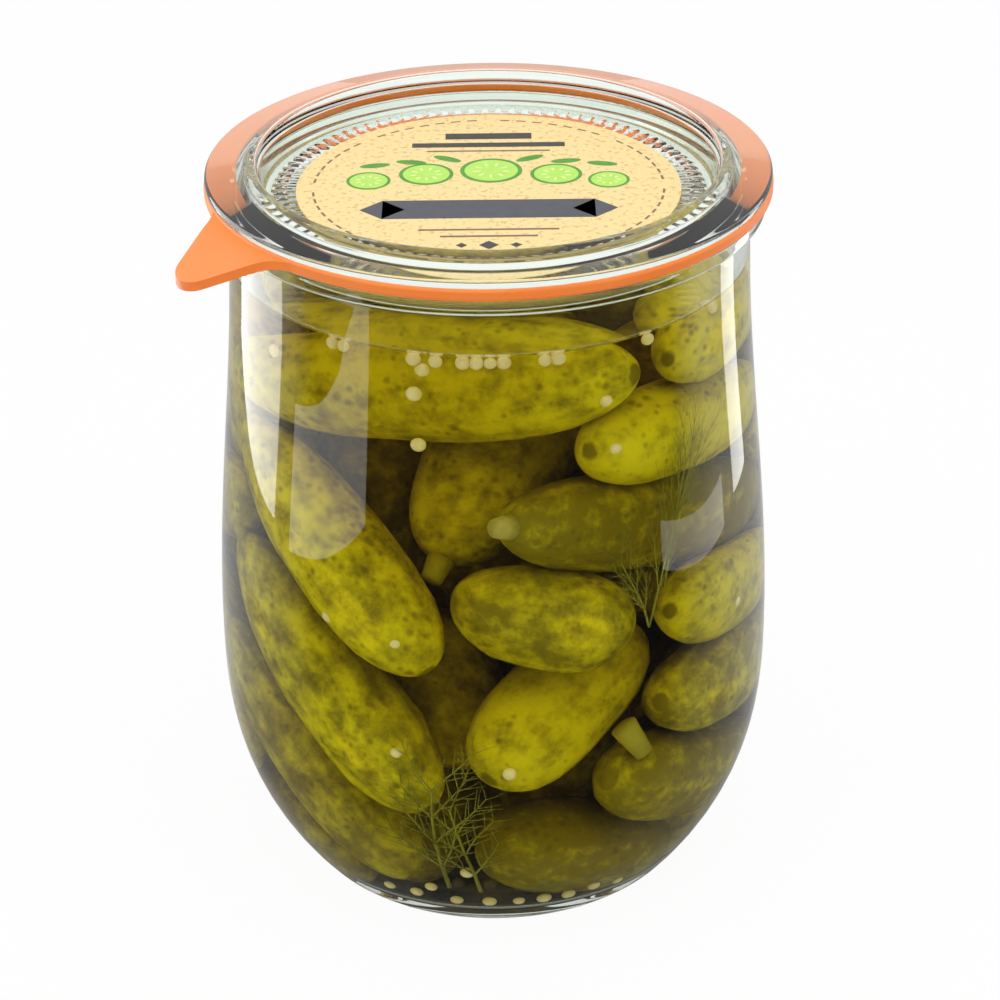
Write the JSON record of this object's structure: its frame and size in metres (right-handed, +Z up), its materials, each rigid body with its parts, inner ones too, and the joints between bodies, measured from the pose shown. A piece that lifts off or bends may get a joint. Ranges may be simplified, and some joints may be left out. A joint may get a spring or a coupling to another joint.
{
  "type": "pickle jar",
  "caption": "Bellied glass preserving jar of gherkins in brine, closed by a recessed glass lid on a flat rubber ring with a pull tab; it stands on its foot.",
  "frame": {"origin": "on the jar's axis in the plane of the foot's standing band", "axes": "+Z up along the jar's axis; -Y is the front; the ring's pull tab points 214 degrees from +X, to the front left"},
  "size_m": [0.1121, 0.111, 0.1499],
  "materials": {
    "jar_glass": "gloss",
    "lid_glass": "gloss",
    "ring_rubber": "satin",
    "label_paper": "matte",
    "brine": "gloss",
    "gherkin_skin": "satin",
    "mustard_seed": "satin",
    "dill": "satin"
  },
  "bodies": {
    "root": {"glass_jar": "jar_glass", "brine": "brine", "sealing_ring": "ring_rubber", "glass_lid": "lid_glass", "lid_label": "label_paper"}
  },
  "joints": []
}
